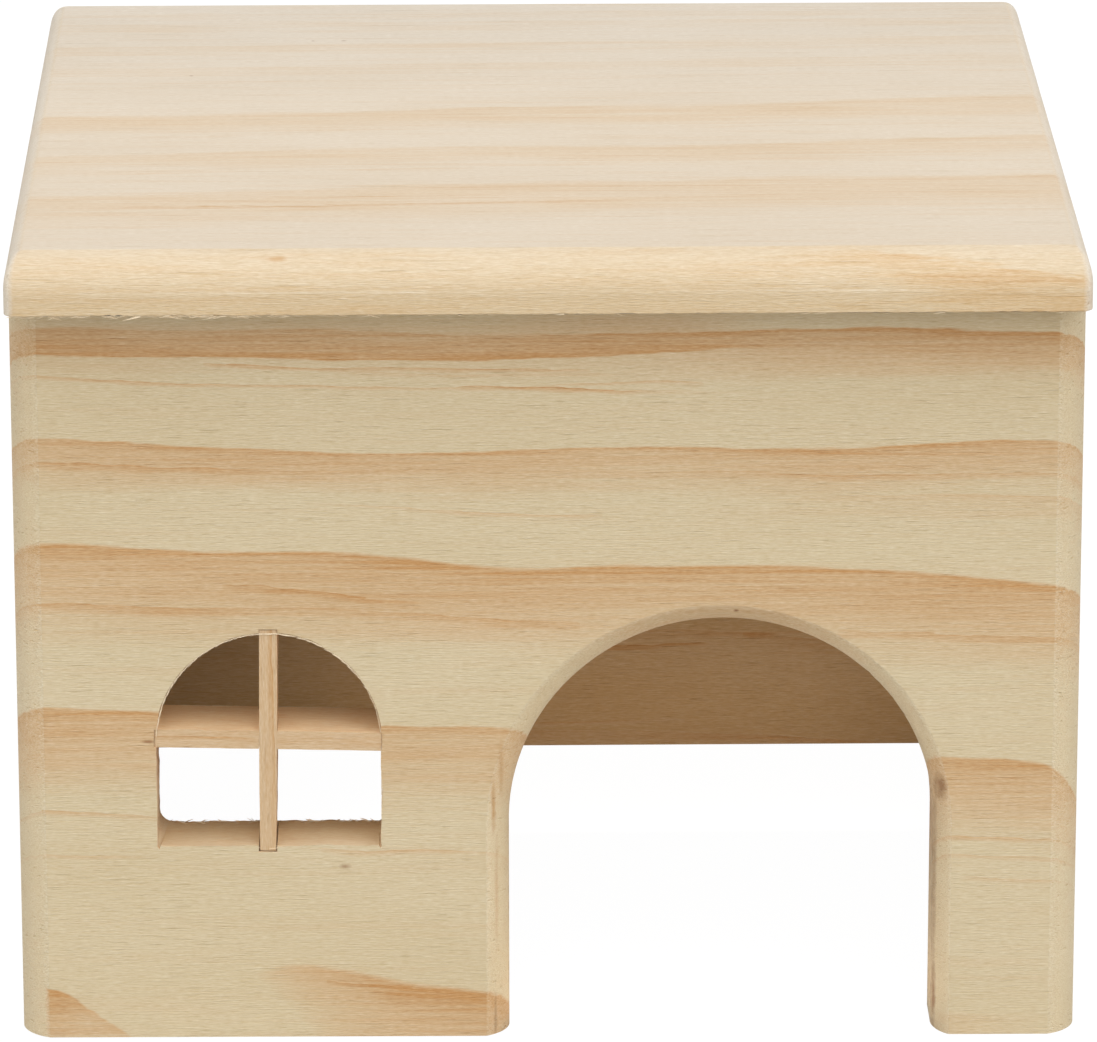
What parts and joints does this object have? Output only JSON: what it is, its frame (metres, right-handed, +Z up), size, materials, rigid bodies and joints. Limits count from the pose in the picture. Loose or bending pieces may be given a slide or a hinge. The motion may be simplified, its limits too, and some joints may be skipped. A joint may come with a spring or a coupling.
{
  "type": "wooden hamster house",
  "caption": "Bottomless pine nest box for a hamster: boards doweled under a flat roof with rounded upper edges, an arched doorway with a routed rim and a small arched window with crossed bars.",
  "frame": {"origin": "on the floor, under the middle of the roof board, which is the largest outline of the house", "axes": "+X to the right as seen from the front, +Y from the doorway to the back, +Z up"},
  "size_m": [0.15, 0.15, 0.1165],
  "materials": {
    "roof_board": "untreated planed pine, matt",
    "wall_boards": "untreated planed pine with darker latewood bands, matt",
    "window_bars": "untreated sawn softwood slat, matt",
    "dowels": "beech dowel, matt"
  },
  "bodies": {
    "root": {"roof": "roof_board", "front_wall": "wall_boards", "back_wall": "wall_boards", "left_wall": "wall_boards", "right_wall": "wall_boards", "window_bar_upright": "window_bars", "window_bar_cross": "window_bars", "dowels_front_left": "dowels", "dowels_front_right": "dowels", "dowels_back_left": "dowels", "dowels_back_right": "dowels", "dowels_roof_left": "dowels", "dowels_roof_right": "dowels"}
  },
  "joints": []
}
